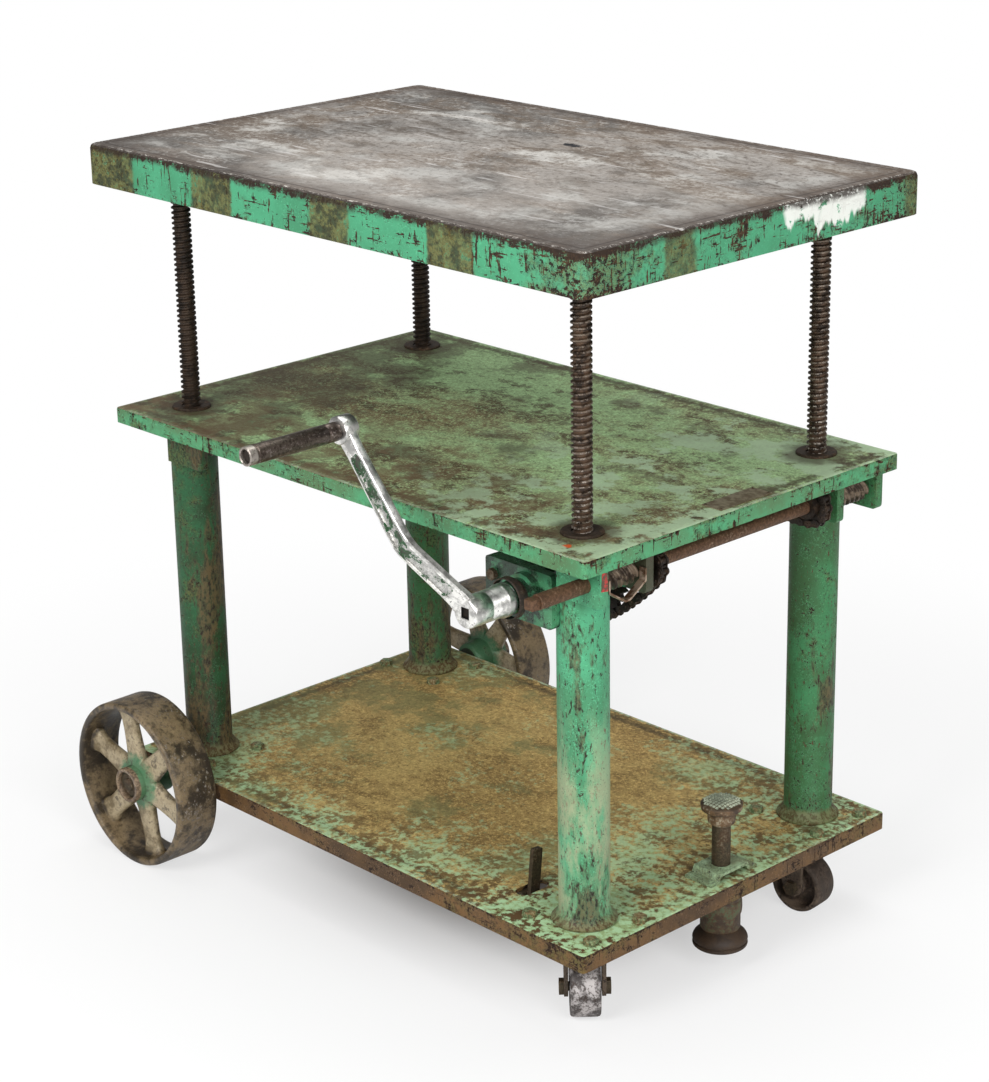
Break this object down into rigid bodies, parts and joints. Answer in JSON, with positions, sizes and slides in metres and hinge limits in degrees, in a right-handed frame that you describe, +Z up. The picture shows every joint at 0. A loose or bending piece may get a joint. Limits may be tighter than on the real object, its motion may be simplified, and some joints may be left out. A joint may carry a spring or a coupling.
{
  "type": "mobile die cart",
  "caption": "Screw-lift die cart: steel table raised by a hand crank through chains and worm nuts, over two decks, on spoked wheels and swivel casters.",
  "frame": {"origin": "on the floor, under the middle of the overall box", "axes": "+Z up, +X from the spoked wheels towards the casters and floor lock, -Y towards the crank's side"},
  "size_m": [0.9478, 0.8896, 0.991],
  "materials": {
    "worn_top": "worn bare steel with green painted skirt",
    "green_paint": "chipped green paint",
    "rusty_deck": "rusted, mostly bare",
    "dark_steel": "oily dark steel",
    "bright_steel": "worn nickel",
    "bronze": "greasy bronze",
    "cast_iron": "rusted cast iron"
  },
  "bodies": {
    "frame": {"mid_deck": "green_paint", "lower_deck": "rusty_deck", "leg_1": "green_paint", "leg_2": "green_paint", "leg_3": "green_paint", "leg_4": "green_paint", "deck_bush_1": "dark_steel", "deck_bush_2": "dark_steel", "deck_bush_3": "dark_steel", "deck_bush_4": "dark_steel", "crank_bracket": "green_paint", "worm_guard": "bright_steel", "link_chain": "dark_steel", "drive_chain": "dark_steel", "axle_saddle_1": "dark_steel", "axle_saddle_2": "dark_steel", "wheel_axle": "dark_steel", "axle_washer_1": "dark_steel", "axle_washer_2": "dark_steel", "caster_plate_1": "dark_steel", "caster_plate_2": "dark_steel", "lock_strap": "dark_steel", "lock_barrel": "green_paint", "lever_bracket": "dark_steel"},
    "crank": {"crank_shaft": "dark_steel", "crank_sprocket": "dark_steel", "crank_arm": "bright_steel", "crank_spindle": "dark_steel"},
    "grip": {"crank_grip": "dark_steel"},
    "table": {"table_top": "worn_top", "lift_screw_1": "dark_steel", "lift_screw_2": "dark_steel", "lift_screw_3": "dark_steel", "lift_screw_4": "dark_steel"},
    "nut_1": {"nut_gear_1": "bronze"},
    "nut_2": {"nut_gear_2": "bronze"},
    "nut_3": {"nut_gear_3": "bronze"},
    "nut_4": {"nut_gear_4": "bronze"},
    "shaft_right": {"cross_shaft_right": "dark_steel", "worm_1": "dark_steel", "worm_2": "dark_steel", "drive_sprocket": "dark_steel", "link_sprocket_right": "dark_steel"},
    "shaft_left": {"cross_shaft_left": "dark_steel", "worm_3": "dark_steel", "worm_4": "dark_steel", "link_sprocket_left": "dark_steel"},
    "wheel_1": {"big_wheel_1": "cast_iron"},
    "wheel_2": {"big_wheel_2": "cast_iron"},
    "fork_1": {"caster_fork_1": "dark_steel", "caster_pin_1": "dark_steel"},
    "fork_2": {"caster_fork_2": "dark_steel", "caster_pin_2": "dark_steel"},
    "roller_1": {"caster_wheel_1": "cast_iron"},
    "roller_2": {"caster_wheel_2": "cast_iron"},
    "lock": {"lock_stem": "dark_steel", "lock_button": "dark_steel", "lock_foot": "dark_steel"},
    "lever": {"toe_lever": "dark_steel"}
  },
  "joints": [
    {"name": "crank_turn", "type": "hinge", "parent": "frame", "child": "crank", "pos_m": [0.33945, -0.2645, 0.5575], "axis": [0, 1, 0], "range_deg": [-30857.1, 4114.3], "deforming": ["drive_chain", "link_chain"]},
    {"name": "grip_spin", "type": "hinge", "parent": "crank", "child": "grip", "pos_m": [0.17618, -0.3098, 0.75208], "axis": [0, 1, 0], "continuous": true},
    {"name": "table_lift", "type": "slide", "parent": "frame", "child": "table", "axis": [0, 0, 1], "range_m": [-0.301, 0.041]},
    {"name": "nut_1_turn", "type": "hinge", "parent": "frame", "child": "nut_1", "pos_m": [0.38755, -0.1204, 0.59], "axis": [0, 0, 1], "range_deg": [-2097.1, 15468.6]},
    {"name": "nut_2_turn", "type": "hinge", "parent": "frame", "child": "nut_2", "pos_m": [0.38755, 0.299, 0.59], "axis": [0, 0, 1], "range_deg": [-2097.1, 15468.6]},
    {"name": "nut_3_turn", "type": "hinge", "parent": "frame", "child": "nut_3", "pos_m": [-0.35365, -0.1204, 0.59], "axis": [0, 0, 1], "range_deg": [-2097.1, 15468.6]},
    {"name": "nut_4_turn", "type": "hinge", "parent": "frame", "child": "nut_4", "pos_m": [-0.35365, 0.299, 0.59], "axis": [0, 0, 1], "range_deg": [-2097.1, 15468.6]},
    {"name": "shaft_right_turn", "type": "hinge", "parent": "frame", "child": "shaft_right", "pos_m": [0.43495, 0.0893, 0.59], "axis": [0, 1, 0], "range_deg": [-77232.9, 10375.7]},
    {"name": "shaft_left_turn", "type": "hinge", "parent": "frame", "child": "shaft_left", "pos_m": [-0.30625, 0.0893, 0.59], "axis": [0, 1, 0], "range_deg": [-77232.9, 10375.7]},
    {"name": "wheel_1_turn", "type": "hinge", "parent": "frame", "child": "wheel_1", "pos_m": [-0.35655, -0.1987, 0.1174], "axis": [0, 1, 0], "continuous": true},
    {"name": "wheel_2_turn", "type": "hinge", "parent": "frame", "child": "wheel_2", "pos_m": [-0.35655, 0.3773, 0.1174], "axis": [0, 1, 0], "continuous": true},
    {"name": "caster_1_swivel", "type": "hinge", "parent": "frame", "child": "fork_1", "pos_m": [0.37395, -0.1077, 0.1], "axis": [0, 0, 1], "continuous": true},
    {"name": "caster_1_roll", "type": "hinge", "parent": "fork_1", "child": "roller_1", "pos_m": [0.38711, -0.11998, 0.038], "axis": [0.682, 0.7314, 0], "continuous": true},
    {"name": "caster_2_swivel", "type": "hinge", "parent": "frame", "child": "fork_2", "pos_m": [0.37395, 0.2863, 0.1], "axis": [0, 0, 1], "continuous": true},
    {"name": "caster_2_roll", "type": "hinge", "parent": "fork_2", "child": "roller_2", "pos_m": [0.39185, 0.28818, 0.038], "axis": [-0.1045, 0.9945, 0], "continuous": true},
    {"name": "lock_press", "type": "slide", "parent": "frame", "child": "lock", "axis": [0, 0, -1], "range_m": [0, 0.0315]},
    {"name": "lever_tilt", "type": "hinge", "parent": "frame", "child": "lever", "pos_m": [0.28395, -0.1087, 0.104], "axis": [-1, 0, 0], "range_deg": [-24, 12]}
  ],
  "couplings": [
    {"joint": "table_lift", "follows": "crank_turn", "m_per_rad": 0.00055704},
    {"joint": "nut_1_turn", "follows": "crank_turn", "ratio": -0.5},
    {"joint": "nut_2_turn", "follows": "crank_turn", "ratio": -0.5},
    {"joint": "nut_3_turn", "follows": "crank_turn", "ratio": -0.5},
    {"joint": "nut_4_turn", "follows": "crank_turn", "ratio": -0.5},
    {"joint": "shaft_right_turn", "follows": "crank_turn", "ratio": 2.5},
    {"joint": "shaft_left_turn", "follows": "crank_turn", "ratio": 2.5}
  ]
}
